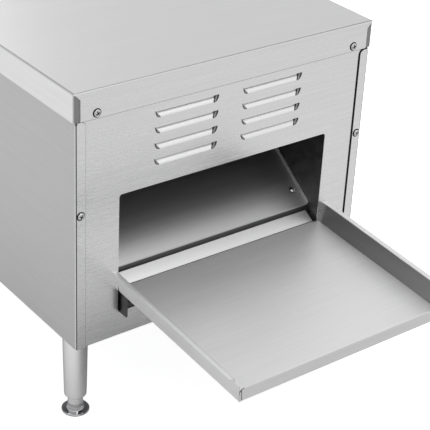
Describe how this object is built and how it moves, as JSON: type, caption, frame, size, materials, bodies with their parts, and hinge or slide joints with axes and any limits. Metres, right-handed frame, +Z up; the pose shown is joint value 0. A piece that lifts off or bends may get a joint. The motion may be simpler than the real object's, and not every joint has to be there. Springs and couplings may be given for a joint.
{
  "type": "conveyor toaster",
  "caption": "Countertop conveyor toaster: folded steel body on bullet feet, wire belt between quartz elements, discharge chute, toast tray, feed rack and crumb tray.",
  "frame": {"origin": "on the bench, under the middle of the whole toaster", "axes": "+Z up; the toast tray and discharge opening face -Y, the feed rack and controls face +Y; +X is on the right seen from the discharge side"},
  "size_m": [0.3708, 0.7424, 0.387],
  "materials": {
    "brushed_stainless": "fine brushed",
    "polished_stainless": "bright annealed sheet",
    "leg_steel": "satin turned",
    "foot_chrome": "bright chrome",
    "galvanised": "plain zinc-coated sheet",
    "wire_steel": "bright drawn wire",
    "screw_steel": "bright zinc-plated",
    "control_black": "satin black",
    "knob_black": "satin moulded",
    "quartz": "frosted quartz",
    "ceramic_white": "matt",
    "bronze_bush": "sintered",
    "sprocket_steel": "machined",
    "chain_steel": "oiled",
    "motor_paint": "semi-gloss",
    "fan_plastic": "moulded",
    "board_green": "coated board",
    "terminal_cream": "moulded",
    "lamp_amber": "clear amber lens"
  },
  "bodies": {
    "housing": {"top_cover": "brushed_stainless", "left_side_panel": "brushed_stainless", "right_side_panel": "brushed_stainless", "discharge_panel": "brushed_stainless", "feed_panel": "brushed_stainless", "control_panel": "control_black", "base_plate": "galvanised", "leg_discharge_left": "leg_steel", "leg_discharge_right": "leg_steel", "leg_feed_left": "leg_steel", "leg_feed_right": "leg_steel", "leg_nuts": "screw_steel", "toast_chute": "polished_stainless", "chute_brackets": "galvanised", "chute_screws": "screw_steel", "chamber_left_wall": "galvanised", "chamber_right_wall": "galvanised", "chamber_floor": "galvanised", "upper_reflector": "polished_stainless", "lower_reflector": "polished_stainless", "upper_elements": "quartz", "lower_elements": "quartz", "element_insulators": "ceramic_white", "toast_deflector": "galvanised", "conveyor_belt": "wire_steel", "shaft_bushes": "bronze_bush", "drive_chain": "chain_steel", "gear_motor": "motor_paint", "motor_bracket": "galvanised", "fan_frame": "fan_plastic", "terminal_block": "terminal_cream", "speed_board": "board_green", "thermal_cutout": "terminal_cream", "speed_potentiometer": "terminal_cream", "heat_selector": "terminal_cream", "power_switch_body": "knob_black", "indicator_lamps": "lamp_amber", "rack_brackets": "galvanised", "crumb_tray_runners": "galvanised", "cable_gland": "knob_black", "panel_screws": "screw_steel", "machine_screws": "screw_steel"},
    "tray": {"toast_tray": "polished_stainless"},
    "crumbs": {"crumb_tray": "polished_stainless"},
    "rack": {"feed_rack": "wire_steel"},
    "speed_dial": {"speed_knob": "knob_black"},
    "heat_dial": {"heat_knob": "knob_black"},
    "rocker": {"power_rocker": "knob_black"},
    "motor_output": {"motor_shaft": "wire_steel", "motor_sprocket": "sprocket_steel"},
    "drive": {"drive_shaft": "wire_steel", "drive_belt_sprockets": "sprocket_steel", "shaft_sprocket": "sprocket_steel"},
    "idler": {"idler_shaft": "wire_steel", "idler_belt_sprockets": "sprocket_steel"},
    "fan": {"fan_impeller": "fan_plastic"},
    "foot_1": {"foot_discharge_left": "foot_chrome"},
    "foot_2": {"foot_discharge_right": "foot_chrome"},
    "foot_3": {"foot_feed_left": "foot_chrome"},
    "foot_4": {"foot_feed_right": "foot_chrome"}
  },
  "joints": [
    {"name": "tray_unhook", "type": "slide", "parent": "housing", "child": "tray", "axis": [0, -1, 0], "range_m": [0, 0.012]},
    {"name": "crumb_tray_slide", "type": "slide", "parent": "housing", "child": "crumbs", "axis": [0, 1, 0], "range_m": [0, 0.2]},
    {"name": "rack_fold", "type": "hinge", "parent": "housing", "child": "rack", "pos_m": [0, 0.2517, 0.315], "axis": [1, 0, 0], "range_deg": [0, 50]},
    {"name": "speed_turn", "type": "hinge", "parent": "housing", "child": "speed_dial", "pos_m": [-0.1534, 0.2457, 0.269], "axis": [0, -1, 0], "range_deg": [0, 270]},
    {"name": "heat_turn", "type": "hinge", "parent": "housing", "child": "heat_dial", "pos_m": [-0.1534, 0.2457, 0.221], "axis": [0, -1, 0], "range_deg": [0, 180]},
    {"name": "power_rock", "type": "hinge", "parent": "housing", "child": "rocker", "pos_m": [-0.1534, 0.2461, 0.169], "axis": [1, 0, 0], "range_deg": [0, 16]},
    {"name": "motor_turn", "type": "hinge", "parent": "housing", "child": "motor_output", "pos_m": [-0.15, 0.0677, 0.175], "axis": [1, 0, 0], "continuous": true},
    {"name": "drive_turn", "type": "hinge", "parent": "housing", "child": "drive", "pos_m": [0, -0.0223, 0.301], "axis": [1, 0, 0], "continuous": true},
    {"name": "idler_turn", "type": "hinge", "parent": "housing", "child": "idler", "pos_m": [0, 0.2227, 0.301], "axis": [1, 0, 0], "continuous": true},
    {"name": "fan_turn", "type": "hinge", "parent": "housing", "child": "fan", "pos_m": [0.06, 0.1477, 0.113], "axis": [0, 0, 1], "continuous": true},
    {"name": "foot_1_height", "type": "slide", "parent": "housing", "child": "foot_1", "axis": [0, 0, -1], "range_m": [0, 0.012]},
    {"name": "foot_2_height", "type": "slide", "parent": "housing", "child": "foot_2", "axis": [0, 0, -1], "range_m": [0, 0.012]},
    {"name": "foot_3_height", "type": "slide", "parent": "housing", "child": "foot_3", "axis": [0, 0, -1], "range_m": [0, 0.012]},
    {"name": "foot_4_height", "type": "slide", "parent": "housing", "child": "foot_4", "axis": [0, 0, -1], "range_m": [0, 0.012]}
  ],
  "couplings": [
    {"joint": "drive_turn", "follows": "motor_turn", "ratio": 0.66667},
    {"joint": "idler_turn", "follows": "motor_turn", "ratio": 0.66667}
  ]
}
